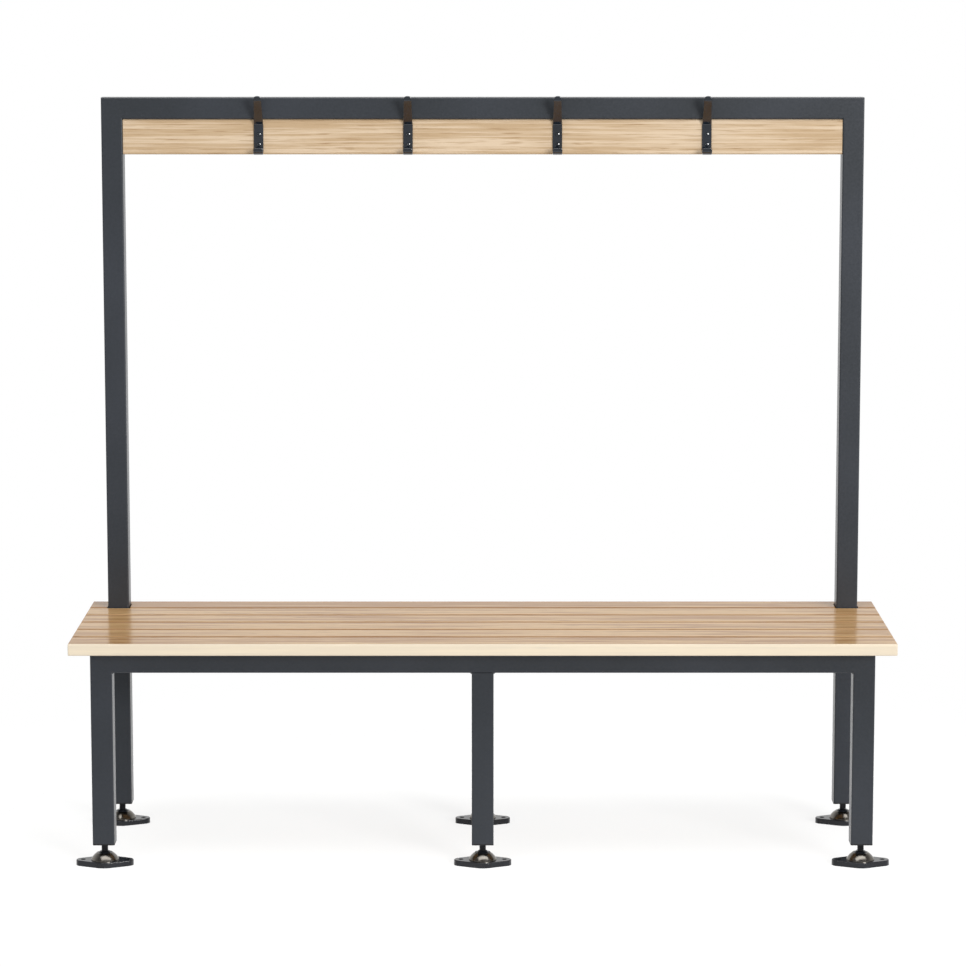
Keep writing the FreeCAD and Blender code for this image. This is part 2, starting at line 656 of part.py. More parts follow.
def foot_dome(label, x, y):
    """Make the polished dome whose spherical inside holds the ball down on the plate."""
    body = new_body(label, x, y)
    half_view = new_sketch(body, "XZ_Plane", "half_view")
    outline(half_view, [
        (sphere_reach(SOCKET_RADIUS, "plate_thickness"), "plate_thickness"),
        ("dome_base_radius", "plate_thickness"), ("dome_base_radius", "plate_thickness + dome_rim"),
        ("dome_mouth_radius", "dome_top"), (sphere_reach(SOCKET_RADIUS, "dome_top"), "dome_top"),
    ], {2: ("dome_curve", "L"), 4: (SOCKET_RADIUS, "R")})
    turned(body, half_view, "Revolution")


def foot_plate(label, x, y):
    """Make the base plate: a rounded diamond with two bolt holes and a cup for the ball."""
    body = new_body(label, x, y)
    outer = new_sketch(body, "XY_Plane", "outline")
    lean = "((plate_middle_radius - plate_end_radius) / (bolt_spacing / 2))"
    rise = f"sqrt(1 - {lean} ^ 2)"
    middle_x, middle_y = f"plate_middle_radius * {lean}", f"plate_middle_radius * {rise}"
    end_x, end_y = f"(bolt_spacing / 2 + plate_end_radius * {lean})", f"plate_end_radius * {rise}"
    outline(outer, [
        (end_x, f"-{end_y}"), (end_x, end_y), (middle_x, middle_y), (f"-{middle_x}", middle_y),
        (f"-{end_x}", end_y), (f"-{end_x}", f"-{end_y}"), (f"-{middle_x}", f"-{middle_y}"),
        (middle_x, f"-{middle_y}"),
    ], {0: ("plate_end_radius", "L"), 2: ("plate_middle_radius", "L"),
        4: ("plate_end_radius", "L"), 6: ("plate_middle_radius", "L")})
    pad(body, outer, "plate_thickness")
    doc.recompute()
    top = number("plate_thickness")
    upper = faces_where(body.Shape, lambda face: abs(face.CenterOfMass.z - top) < CLOSE)
    round_off(body, upper, "plate_edge_radius", "edge")
    bolts = new_sketch(body, "XY_Plane", "bolt_holes")
    circles(bolts, [("-bolt_spacing / 2", "0"), ("bolt_spacing / 2", "0")], "bolt_hole_radius")
    pocket(body, bolts)
    cup = new_sketch(body, "XZ_Plane", "ball_cup")
    outline(cup, [
        ("0", "socket_floor"), (sphere_reach(SOCKET_RADIUS, "socket_floor"), "socket_floor"),
        (sphere_reach(SOCKET_RADIUS, "plate_thickness"), "plate_thickness"), ("0", "plate_thickness"),
    ], {1: (SOCKET_RADIUS, "L")})
    turned(body, cup, "Groove")


FEET = [(f"{row}_{column}", x, y) for row, y in (("front", FRONT_LEG_Y), ("rear", POST_Y))
        for column, x in (("left", f"-{POST_X}"), ("centre", "0"), ("right", POST_X))]
for foot, foot_x, foot_y in FEET:
    leg_plug(f"{foot}_leg_plug", foot_x, foot_y)
    foot_stem(f"{foot}_foot_stem", foot_x, foot_y)
    foot_ball(f"{foot}_foot_ball", foot_x, foot_y)
    foot_dome(f"{foot}_foot_dome", foot_x, foot_y)
    foot_plate(f"{foot}_foot_plate", foot_x, foot_y)


# Check the whole document, then write each piece to its own file

doc.recompute()
for item in doc.Objects:
    if "Invalid" in item.State or "Error" in item.State:
        raise RuntimeError(f"{item.Name} failed: {item.State}")
for piece in PIECES:
    if piece.Shape.isNull() or not piece.Shape.isValid() or not piece.Shape.Solids:
        raise RuntimeError(f"{piece.Label} has no valid solid")
os.makedirs("parts", exist_ok=True)
for piece in PIECES:
    piece.Shape.exportStep(f"parts/{piece.Label}.step")
print(f"{len(PIECES)} pieces written")
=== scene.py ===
"""Coat rack bench: finishes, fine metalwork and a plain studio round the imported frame.

Metres, +Z up, front towards -Y, origin on the floor under the middle of the seat. Sizes of new pieces
are in millimetres, and become metres when their mesh is made.
"""

import logging
import math
from dataclasses import dataclass, field
from enum import Enum
from typing import Any

import bpy
import numpy as np
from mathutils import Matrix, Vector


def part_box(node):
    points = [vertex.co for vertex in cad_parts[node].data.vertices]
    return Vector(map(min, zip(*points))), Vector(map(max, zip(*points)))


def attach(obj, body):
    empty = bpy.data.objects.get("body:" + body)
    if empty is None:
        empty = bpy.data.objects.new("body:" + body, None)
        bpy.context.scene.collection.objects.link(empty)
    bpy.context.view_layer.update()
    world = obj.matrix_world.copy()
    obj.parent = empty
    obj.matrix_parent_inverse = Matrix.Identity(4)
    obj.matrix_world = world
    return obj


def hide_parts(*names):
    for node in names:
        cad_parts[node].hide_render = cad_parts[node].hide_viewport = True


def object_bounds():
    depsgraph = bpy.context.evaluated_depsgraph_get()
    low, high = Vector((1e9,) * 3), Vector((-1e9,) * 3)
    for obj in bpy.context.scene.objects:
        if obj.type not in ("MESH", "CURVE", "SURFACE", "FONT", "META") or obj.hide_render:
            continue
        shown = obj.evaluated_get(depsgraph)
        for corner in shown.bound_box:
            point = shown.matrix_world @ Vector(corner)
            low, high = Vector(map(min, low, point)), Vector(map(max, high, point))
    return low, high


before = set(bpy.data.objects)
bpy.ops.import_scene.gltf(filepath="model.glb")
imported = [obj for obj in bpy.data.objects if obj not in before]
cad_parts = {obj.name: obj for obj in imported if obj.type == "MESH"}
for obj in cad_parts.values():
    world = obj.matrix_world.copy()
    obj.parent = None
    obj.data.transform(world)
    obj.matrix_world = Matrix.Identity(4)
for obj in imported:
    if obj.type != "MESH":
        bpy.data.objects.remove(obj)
CAD_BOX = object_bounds()

MM = 0.001
IMAGE_SIDE = 966
FRAME_BODY = "frame"
# The width of one ring of the wave texture at a scale of one.
WAVE_TURN = math.pi / 10
# Where most of a noise texture's values lie.
NOISE_SPREAD = (0.3, 0.7)
log = logging.getLogger("coat_rack_bench")


class Slot(Enum):
    """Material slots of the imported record."""

    POWDER_COAT = "powder_coated_steel"
    ENAMEL = "black_enamelled_steel"
    ZINC = "zinc_plated_steel"
    BLACKENED = "blackened_steel"


class Foot(Enum):
    """The six levelling feet, by the leg that each one carries."""

    FRONT_LEFT = "front_left"
    FRONT_CENTRE = "front_centre"
    FRONT_RIGHT = "front_right"
    REAR_LEFT = "rear_left"
    REAR_CENTRE = "rear_centre"
    REAR_RIGHT = "rear_right"


def linear(code: str) -> tuple[float, float, float, float]:
    """Turn an sRGB hex colour to the linear values that a shader takes.

    Args:
        code: The colour as "#RRGGBB".

    Returns:
        Linear red, green and blue, with an alpha of one.
    """
    shares = [int(code[place:place + 2], 16) / 255 for place in (1, 3, 5)]
    return (*[s / 12.92 if s <= 0.04045 else ((s + 0.055) / 1.055) ** 2.4 for s in shares], 1.0)


def add(tree: bpy.types.NodeTree, kind: str, inputs: dict[Any, Any] | None = None,
        **settings: Any) -> bpy.types.Node:
    """Add a node to a tree with its settings and links.

    Args:
        tree: The node tree of a material or the world.
        kind: The node's type, without its "ShaderNode" start.
        inputs: Socket name or number to a plain value, or to the output that feeds it.
        settings: Properties of the node.

    Returns:
        The new node.
    """
    node = tree.nodes.new(f"ShaderNode{kind}")
    for name, value in settings.items():
        setattr(node, name, value)
    for key, value in (inputs or {}).items():
        if isinstance(value, bpy.types.NodeSocket):
            tree.links.new(value, node.inputs[key])
        else:
            node.inputs[key].default_value = value
    return node


def ramp(tree: bpy.types.NodeTree, source: bpy.types.NodeSocket,
         stops: list[tuple[float, str]]) -> bpy.types.NodeSocket:
    """Colour a value by hex colours at places from 0 to 1.

    Args:
        tree: The node tree to add to.
        source: The value that picks the colour.
        stops: Places and their hex colours, in rising order.

    Returns:
        The colour output.
    """
    node = add(tree, "ValToRGB", {"Fac": source})
    elements = node.color_ramp.elements
    while len(elements) < len(stops):
        elements.new(1.0)
    for element, (place, code) in zip(elements, stops):
        element.position = place
        element.color = linear(code)
    return node.outputs["Color"]


def blend(tree: bpy.types.NodeTree, share: bpy.types.NodeSocket, first: bpy.types.NodeSocket,
          second: tuple[float, ...]) -> bpy.types.NodeSocket:
    """Mix a colour with a plain second one.

    Args:
        tree: The node tree to add to.
        share: The share of the second colour.
        first: The colour where the share is 0.
        second: The colour where the share is 1.

    Returns:
        The colour output.
    """
    # Inputs 6 and 7 and output 2 are the colours of a Mix node.
    node = add(tree, "Mix", {0: share, 6: first, 7: second}, data_type="RGBA")
    return node.outputs[2]


@dataclass(frozen=True)
class Finish:
    """A surface finish: a name and the settings that are the same all over it."""

    name: str
    constants: dict[str, Any] = field(default_factory=dict)

    def start(self) -> tuple[bpy.types.Material, bpy.types.NodeTree, bpy.types.Node,
                             bpy.types.NodeSocket]:
        """Start the material.

        Returns:
            The material, its tree, its surface shader and its object coordinates.
        """
        material = bpy.data.materials.new(self.name)
        material.use_nodes = True
        tree = material.node_tree
        shader = next(node for node in tree.nodes if node.type == "BSDF_PRINCIPLED")
        for socket, value in self.constants.items():
            shader.inputs[socket].default_value = value
        place = add(tree, "TexCoord").outputs["Object"]
        return material, tree, shader, place

    def spots(self, tree: bpy.types.NodeTree, place: bpy.types.NodeSocket, size: float,
              detail: float = 2.0) -> bpy.types.NodeSocket:
        """Add noise whose spots have a real size.

        Args:
            tree: The node tree to add to.
            place: The coordinates in metres.
            size: The width of a spot in millimetres.
            detail: How many finer layers it has.

        Returns:
            The noise value from 0 to 1.
        """
        noise = add(tree, "TexNoise", {"Vector": place, "Scale": 1 / (size * MM), "Detail": detail})
        return noise.outputs["Fac"]

    def between(self, tree: bpy.types.NodeTree, source: bpy.types.NodeSocket, low: float,
                high: float) -> bpy.types.NodeSocket:
        """Spread a noise value over a range of the shader's socket.

        Args:
            tree: The node tree to add to.
            source: The noise value.
            low: The least result.
            high: The greatest result.

        Returns:
            The spread value.
        """
        least, most = NOISE_SPREAD
        node = add(tree, "MapRange", {"Value": source, "From Min": least, "From Max": most,
                                      "To Min": low, "To Max": high})
        return node.outputs["Result"]

    def emboss(self, tree: bpy.types.NodeTree, shader: bpy.types.Node, height: bpy.types.NodeSocket,
               depth: float, strength: float) -> None:
        """Give the shader a bump.

        Args:
            tree: The node tree to add to.
            shader: The surface shader.
            height: The height value from 0 to 1.
            depth: The height of a full step in millimetres.
            strength: How much of the bump shows.
        """
        bump = add(tree, "Bump", {"Height": height, "Distance": depth * MM, "Strength": strength})
        tree.links.new(bump.outputs["Normal"], shader.inputs["Normal"])


@dataclass(frozen=True)
class Coating(Finish):
    """A plain coated, moulded or plated surface: cloudy tone, fine grain and uneven gloss."""

    dark: str = "#202020"
    light: str = "#303030"
    cloud: float = 180.0
    grain: float = 3.0
    grain_depth: float = 0.05
    grain_strength: float = 0.3
    gloss: tuple[float, float] = (0.4, 0.5)
    grain_detail: float = 3.0
    grain_share: float = 0.3
    tone_stops: tuple[float, float] = (0.35, 0.65)

    def make(self) -> bpy.types.Material:
        """Build the material from its cloud, grain and gloss."""
        material, tree, shader, place = self.start()
        cloud = self.spots(tree, place, self.cloud)
        grain = self.spots(tree, place, self.grain, self.grain_detail)
        tone = add(tree, "Mix", {0: self.grain_share, 2: cloud, 3: grain}).outputs[0]
        colour = ramp(tree, tone, list(zip(self.tone_stops, (self.dark, self.light))))
        tree.links.new(colour, shader.inputs["Base Color"])
        tree.links.new(self.between(tree, grain, *self.gloss), shader.inputs["Roughness"])
        self.emboss(tree, shader, grain, self.grain_depth, self.grain_strength)
        return material


# Polyester powder baked on tube: an even anthracite with a faint orange peel, so faces stay quiet and
# only grazing views go pale. The peel is really about 1 mm and is drawn at 4 mm to show.
POWDER_COAT = Coating("powder_coated_steel", {"IOR": 1.5}, dark="#2D3136", light="#363A41", cloud=220.0,
                      grain=4.0, grain_depth=0.06, grain_strength=0.35, gloss=(0.28, 0.37))

# Stoved black enamel on bent strip: deep black under a wet gloss that mirrors the wood below.
ENAMEL = Coating("black_enamelled_steel", {"IOR": 1.95}, dark="#0A1119", light="#101A26", cloud=40.0,
                 grain=6.0, grain_depth=0.02, grain_strength=0.1, gloss=(0.05, 0.1))

# Zinc plate: bluish white metal with a dull bloom in patches.
ZINC = Coating("zinc_plated_steel", {"Metallic": 1.0}, dark="#9FA5AC", light="#C3C8CC", cloud=5.0,
               grain=1.5, grain_depth=0.02, grain_strength=0.2, gloss=(0.24, 0.4))

# Moulded polyethylene plug: soft black with a waxy bloom.
POLYETHYLENE = Coating("black_polyethylene", {"IOR": 1.5}, dark="#131416", light="#1B1C1F", cloud=25.0,
                       grain=2.0, grain_depth=0.05, grain_strength=0.3, gloss=(0.42, 0.56))

# Chemically blackened steel screw: dark metal that still shows steel on its crests.
BLACKENED = Coating("blackened_steel", {"Metallic": 0.85}, dark="#1C1C1E", light="#343436", cloud=9.0,
                    grain=2.0, grain_depth=0.04, grain_strength=0.25, gloss=(0.26, 0.4))

# Glass-filled nylon moulding: black-grey, spark-eroded grain, a sheen that grows at low angles.
NYLON = Coating("black_nylon", {"IOR": 1.55}, dark="#1B1D21", light="#282A2F", cloud=30.0,
                grain=1.6, grain_depth=0.02, grain_strength=0.1, gloss=(0.1, 0.17))

# Pressed dome, polished under smoky nickel: a warm dark mirror softened by the finest wheel marks.
POLISHED = Coating("polished_steel", {"Metallic": 1.0}, dark="#66625C", light="#7E7A74", cloud=14.0,
                   grain=3.0, grain_depth=0.015, grain_strength=0.12, gloss=(0.18, 0.26))


@dataclass(frozen=True)
class PaintedEdgeLightAndShade:
    """Colour painted on one narrow edge as the light or shade there: its share, and the normal's Y where
    it begins and is full.
    """

    code: str
    share: float
    begin: float
    full: float


# The front slat's front edge is painted pale cream as painted light from the front.
PAINTED_FRONT_LIGHT = PaintedEdgeLightAndShade("#EFE5D0", 0.82, -0.05, -0.3)
# The edges that face front and back into the gaps are painted dark brown as painted shade.
PAINTED_GAP_SHADE_FRONT = PaintedEdgeLightAndShade("#7A5433", 0.65, -0.2, -0.6)
PAINTED_GAP_SHADE_BACK = PaintedEdgeLightAndShade("#7A5433", 0.65, 0.2, 0.6)


@dataclass(frozen=True)
class LacqueredAsh(Finish):
    """Planed ash under a thin satin lacquer: long porous streaks, a soft mirror at low angles.

    The growth rings are tubes about a pith line along X. Real rings are 2 to 4 mm wide and pores under
    0.5 mm, which the render can't show, so both are drawn about three times as coarse. Wider bands of
    tone run along the grain. The front slat's front edge is painted pale as painted light from the front,
    and the edges inside the gaps are painted darker as painted shade.
    """

    # Painted light and painted shade for the narrow edges.
    edges: tuple[PaintedEdgeLightAndShade, ...] = ()
    pith: tuple[float, float, float] = (0.0, 0.0, 0.0)
    tone: float = 0.0
    late: str = "#DBB27C"
    early: str = "#B58752"
    pore: str = "#94683C"
    ring: float = 8.0
    ring_share: float = 0.6
    sway: float = 16.0
    sway_size: tuple[float, float] = (900.0, 70.0)
    band_size: tuple[float, float] = (340.0, 20.0)
    band_share: float = 0.75
    pore_size: tuple[float, float] = (45.0, 1.7)
    fibre_size: tuple[float, float] = (95.0, 2.4)
    pore_range: tuple[float, float] = (0.56, 0.7)
    fibre_tone: tuple[float, float] = (-0.15, 0.4)
    early_stop: float = 0.8
    gloss: tuple[float, float] = (0.42, 0.56)
    fibre_depth: float = 0.08
    fibre_strength: float = 0.2

    def stretched(self, tree: bpy.types.NodeTree, place: bpy.types.NodeSocket, size: tuple[float, float],
                  detail: float) -> bpy.types.Node:
        """Add noise drawn out along the grain.

        Args:
            tree: The node tree to add to.
            place: The coordinates in metres.
            size: Length along the grain and width across it, in millimetres.
            detail: How many finer layers it has.

        Returns:
            The noise node.
        """
        along, across = (1 / (length * MM) for length in size)
        drawn = add(tree, "VectorMath", {0: place, 1: (along, across, across)}, operation="MULTIPLY")
        return add(tree, "TexNoise", {"Vector": drawn.outputs[0], "Scale": 1.0, "Detail": detail})

    def edged(self, tree: bpy.types.NodeTree, face: bpy.types.NodeSocket) -> bpy.types.NodeSocket:
        """Paint light and shade onto a board's narrow edges by how far the surface turns to the front or
        back.

        Args:
            tree: The node tree to add to.
            face: The colour of the wide faces.

        Returns:
            The colour of the whole board.
        """
        normal = add(tree, "NewGeometry").outputs["Normal"]
        deep = add(tree, "SeparateXYZ", {0: normal}).outputs["Y"]
        for edge in self.edges:
            side = add(tree, "MapRange", {"Value": deep, "From Min": edge.begin, "From Max": edge.full,
                                          "To Max": edge.share}).outputs["Result"]
            face = blend(tree, side, face, linear(edge.code))
        return face

    def make(self) -> bpy.types.Material:
        """Build the material: rings bent by slow noise, bands, pores, fibres, painted edge light and
        shade, lacquer.
        """
        material, tree, shader, place = self.start()
        place = add(tree, "Mapping", {"Vector": place, "Location": self.pith}).outputs[0]
        sway = self.stretched(tree, place, self.sway_size, 2.0).outputs["Color"]
        sway = add(tree, "VectorMath", {0: sway, 1: (0.5, 0.5, 0.5)}, operation="SUBTRACT").outputs[0]
        bent = add(tree, "VectorMath", {0: sway, 1: (self.sway * MM,) * 3, 2: place},
                   operation="MULTIPLY_ADD").outputs[0]
        rings = add(tree, "TexWave", {"Vector": bent, "Scale": WAVE_TURN / (self.ring * MM)},
                    wave_type="RINGS", rings_direction="X", wave_profile="SAW").outputs["Fac"]
        pores = self.stretched(tree, place, self.pore_size, 1.0).outputs["Fac"]
        fibres = self.stretched(tree, place, self.fibre_size, 3.0).outputs["Fac"]
        bands = self.stretched(tree, place, self.band_size, 2.0).outputs["Fac"]
        least, most = self.pore_range
        porous = add(tree, "MapRange", {"Value": pores, "From Min": least,
                                        "From Max": most}).outputs["Result"]
        porous = add(tree, "Math", {0: porous, 1: rings}, operation="MULTIPLY").outputs[0]
        fine = self.between(tree, fibres, *self.fibre_tone)
        grain = add(tree, "Math", {0: rings, 1: self.ring_share, 2: fine},
                    operation="MULTIPLY_ADD").outputs[0]
        shade = self.between(tree, bands, self.tone - self.band_share, self.tone + self.band_share)
        grain = add(tree, "Math", {0: grain, 1: shade}, use_clamp=True).outputs[0]
        face = ramp(tree, grain, [(0.0, self.late), (self.early_stop, self.early)])
        face = self.edged(tree, blend(tree, porous, face, linear(self.pore)))
        tree.links.new(face, shader.inputs["Base Color"])
        tree.links.new(self.between(tree, fibres, *self.gloss), shader.inputs["Roughness"])
        self.emboss(tree, shader, fibres, self.fibre_depth, self.fibre_strength)
        return material


LACQUER = {"Specular IOR Level": 0.1, "Coat Weight": 0.55, "Coat Roughness": 0.15, "Coat IOR": 1.5}


def dress(node: str, material: bpy.types.Material) -> None:
    """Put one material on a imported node."""
    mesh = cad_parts[node].data
    mesh.materials.clear()
    mesh.materials.append(material)
    log.info("%s: %s", node, material.name)


def corners(node: str) -> tuple[np.ndarray, np.ndarray]:
    """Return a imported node's lowest and highest corner in millimetres."""
    low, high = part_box(node)
    return np.array(low) / MM, np.array(high) / MM


def lathe(radius: np.ndarray, height: np.ndarray, sides: int) -> np.ndarray:
    """Turn a profile about its own axis.

    x and y are the radius times the cosine and the sine of the turn, and the height is z.

    Args:
        radius: Radii, one for each height, or a grid of heights by turns.
        height: Heights, one for each ring, or a grid of heights by turns.
        sides: How many points a ring has.

    Returns:
        Rings of points, as rings by sides by 3.
    """
    turn = np.arange(sides) * 2 * math.pi / sides
    radius, height = (part[:, None] if part.ndim == 1 else part for part in (radius, height))
    flat = np.ones(sides)
    return np.stack([radius * np.cos(turn), radius * np.sin(turn), height * flat], axis=-1)


@dataclass
class Surface:
    """A mesh gathered from closed shells of rings, in millimetres."""

    name: str
    points: list[np.ndarray] = field(default_factory=list)
    quads: list[np.ndarray] = field(default_factory=list)
    fans: list[np.ndarray] = field(default_factory=list)

    def shell(self, rings: np.ndarray) -> None:
        """Add a closed shell that faces outwards.

        Quads join each ring to the next, and fans from their middles close the first and last. The shell
        is turned over where its volume, the sum of each triangle's first corner dotted with the cross
        product of the other two, comes out negative.

        Args:
            rings: Points, as rings by sides by 3.
        """
        count, sides = rings.shape[:2]
        index = np.arange(count * sides).reshape(count, sides)
        ahead = np.roll(index, -1, axis=1)
        hubs = np.broadcast_to(count * sides + np.arange(2)[:, None], (2, sides))
        points = np.concatenate([rings.reshape(-1, 3), rings[[0, -1]].mean(axis=1)])
        quads = np.stack([index[:-1], ahead[:-1], ahead[1:], index[1:]], axis=-1).reshape(-1, 4)
        fans = np.concatenate([np.stack([hubs[0], ahead[0], index[0]], axis=-1),
                               np.stack([hubs[1], index[-1], ahead[-1]], axis=-1)])
        triangles = np.concatenate([quads[:, :3], quads[:, [0, 2, 3]], fans])
        first, second, third = points[triangles].swapaxes(0, 1)
        if np.einsum("ij,ij->", first, np.cross(second, third)) < 0:
            quads, fans = quads[:, ::-1], fans[:, ::-1]
        start = sum(len(part) for part in self.points)
        self.points.append(points)
        self.quads.append(quads + start)
        self.fans.append(fans + start)

    def link(self) -> bpy.types.Object:
        """Make the mesh in metres and put its object at the origin of the scene."""
        mesh = bpy.data.meshes.new(self.name)
        faces = np.concatenate(self.quads).tolist() + np.concatenate(self.fans).tolist()
        mesh.from_pydata((np.concatenate(self.points) * MM).tolist(), [], faces)
        piece = bpy.data.objects.new(self.name, mesh)
        bpy.context.scene.collection.objects.link(piece)
        return piece


@dataclass(frozen=True)
class Fitting:
    """A new piece's body, slot, material and the nodes that it stands for; fit joins it to the frame by
    body and material, and hides the nodes.
    """

    body: str
    slot: Slot
    material: bpy.types.Material
    nodes: tuple[str, ...] = ()
    crease: float = 38.0

    def fit(self, piece: bpy.types.Object) -> None:
        """Shade, dress and fasten a piece."""
        piece.data.shade_smooth()
        piece.data.set_sharp_from_angle(angle=math.radians(self.crease))
        piece.data.materials.clear()
        piece.data.materials.append(self.material)
        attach(piece, self.body)
        if self.nodes:
            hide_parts(*self.nodes)
        count = len(piece.data.polygons)
        log.info("%s: %s on %s, %d faces", piece.name, self.material.name, self.body, count)


@dataclass
class SteelFrame:
    """The welded tube frame, its board lugs and its weld beads."""

    tubes: tuple[str, ...] = (
        "left_post", "right_post", "top_rail", "front_left_leg", "front_right_leg", "front_centre_leg",
        "rear_centre_leg", "front_seat_rail", "rear_seat_rail", "left_side_rail", "right_side_rail",
        "centre_cross_rail", "left_hook_rail_lug", "right_hook_rail_lug")
    bead_leg: float = 3.6
    bead_sink: float = 0.4
    bead_inset: float = 2.5
    ripple: float = 2.4
    ripple_swell: float = 0.12
    ripple_bow: float = 1.2
    ripple_steps: int = 6
    arc_steps: int = 8
    bead_fade: float = 0.06
    bead_crease: float = 60.0

    def build(self, coat: bpy.types.Material) -> None:
        """Dress the tubes and lugs and lay the welds."""
        for tube in self.tubes:
            dress(tube, coat)
        welds = Surface("weld_beads")
        for seam in self.seams():
            welds.shell(self.bead(*seam))
        Fitting(FRAME_BODY, Slot.POWDER_COAT, coat, crease=self.bead_crease).fit(welds.link())

    def seams(self) -> list[tuple[np.ndarray, ...]]:
        """List the welded inner corners: both ends, then the ways that the two faces lead off."""
        found = []
        inset = self.bead_inset

        def seam(start: list[float], end: list[float], first: tuple[int, ...],
                 second: tuple[int, ...]) -> None:
            """Note one seam."""
            found.append(tuple(np.array(part, float) for part in (start, end, first, second)))

        for leg in ("front_centre_leg", "rear_centre_leg"):
            low, high = corners(leg)
            for x, way in ((low[0], -1), (high[0], 1)):
                seam([x, low[1] + inset, high[2]], [x, high[1] - inset, high[2]],
                     (way, 0, 0), (0, 0, -1))
        under = corners("front_seat_rail")[0][2]
        sides = {"front_left_leg": 1, "left_post": 1, "front_right_leg": -1, "right_post": -1}
        for leg, way in sides.items():
            low, high = corners(leg)
            x = high[0] if way > 0 else low[0]
            seam([x, low[1] + inset, under], [x, high[1] - inset, under], (way, 0, 0), (0, 0, -1))
        for rail in ("left_side_rail", "right_side_rail", "centre_cross_rail"):
            low, high = corners(rail)
            for y, way in ((low[1], 1), (high[1], -1)):
                seam([low[0] + inset, y, low[2]], [high[0] - inset, y, low[2]],
                     (0, way, 0), (0, 0, -1))
        low, high = corners("centre_cross_rail")
        for y, way in ((low[1], 1), (high[1], -1)):
            for x, out in ((low[0], -1), (high[0], 1)):
                seam([x, y, low[2] + inset], [x, y, high[2] - inset], (0, way, 0), (out, 0, 0))
        for lug, way in (("left_hook_rail_lug", 1), ("right_hook_rail_lug", -1)):
            low, high = corners(lug)
            x = low[0] if way > 0 else high[0]
            seam([x, high[1], low[2] + inset], [x, high[1], high[2] - inset], (way, 0, 0), (0, 1, 0))
        return found

    def bead(self, start: np.ndarray, end: np.ndarray, first: np.ndarray,
             second: np.ndarray) -> np.ndarray:
        """Carry a quarter round along an inner corner.

        A section's arc is the leg times the cosine of its angle along one face plus the sine along the
        other, and its root is sunk in the metal. The leg swells by the absolute sine of the way along,
        one swell to a ripple, later at the arc's middle, so that each ripple bows, and it dies away as a
        square root at both ends.

        Args:
            start: The seam's first end.
            end: The seam's other end.
            first: The way that one face leads away from the corner.
            second: The way that the other face leads away.

        Returns:
            Rings of points, as rings by sides by 3.
        """
        length = float(np.linalg.norm(end - start))
        run = np.linspace(0, length, int(length / self.ripple * self.ripple_steps) + 1)[:, None]
        angle = np.linspace(0, math.pi / 2, self.arc_steps + 1)
        swell = np.abs(np.sin(math.pi * (run + self.ripple_bow * np.sin(2 * angle)) / self.ripple))
        fade = np.sqrt(np.clip(np.minimum(run, length - run) / self.bead_leg, self.bead_fade, 1))
        leg = self.bead_leg * (1 + self.ripple_swell * (swell - 1)) * fade
        arc = leg[..., None] * (np.cos(angle)[:, None] * first + np.sin(angle)[:, None] * second)
        line = (start + run / length * (end - start))[:, None, :]
        root = np.zeros((len(run), 1, 3))
        return line + np.concatenate([arc, root], axis=1) - self.bead_sink * (first + second)


@dataclass
class Woodwork:
    """The six seat slats and the hook board, each with its own piece of grain, and each slat with a shift
    of tone.
    """

    # Tone shift of each slat, front to rear: slats 2, 3 and 5 lighter, the rear slat darker and browner.
    slat_tones: tuple[float, ...] = (0.05, -0.28, -0.2, -0.05, -0.22, 0.4)
    seed: int = 11
    pith_depth: tuple[float, float] = (0.09, 0.2)
    pith_turn: float = 0.7
    pith_along: float = 2.0

    def build(self) -> None:
        """Dress every board with its own piece of grain."""
        draw = np.random.default_rng(self.seed)
        for slat, tone in enumerate(self.slat_tones, start=1):
            node = f"seat_slat_{slat}"
            # Painted light on the front slat's front edge; painted shade on every other front edge and on
            # all back edges.
            edges = (PAINTED_FRONT_LIGHT if slat == 1 else PAINTED_GAP_SHADE_FRONT, PAINTED_GAP_SHADE_BACK)
            pith = self.pith(node, draw)
            wood = LacqueredAsh(f"lacquered_ash_slat_{slat}", LACQUER, edges, pith, tone)
            dress(node, wood.make())
        board = LacqueredAsh("lacquered_ash_board", LACQUER, pith=self.pith("hook_rail", draw),
                             late="#D7C1A5", early="#BEA381", pore="#A48561")
        dress("hook_rail", board.make())

    def pith(self, node: str, draw: np.random.Generator) -> tuple[float, float, float]:
        """Choose where a board's pith line lies.

        Args:
            node: The board.
            draw: The seeded source of chance.

        Returns:
            The shift that brings the pith line to the origin.
        """
        low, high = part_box(node)
        middle = (np.array(low) + np.array(high)) / 2
        turn = draw.uniform(-self.pith_turn, self.pith_turn)
        depth = draw.uniform(*self.pith_depth)
        along = draw.uniform(-self.pith_along, self.pith_along)
        away = np.array([along, depth * math.sin(turn), depth * math.cos(turn)])
        return tuple(away - middle)


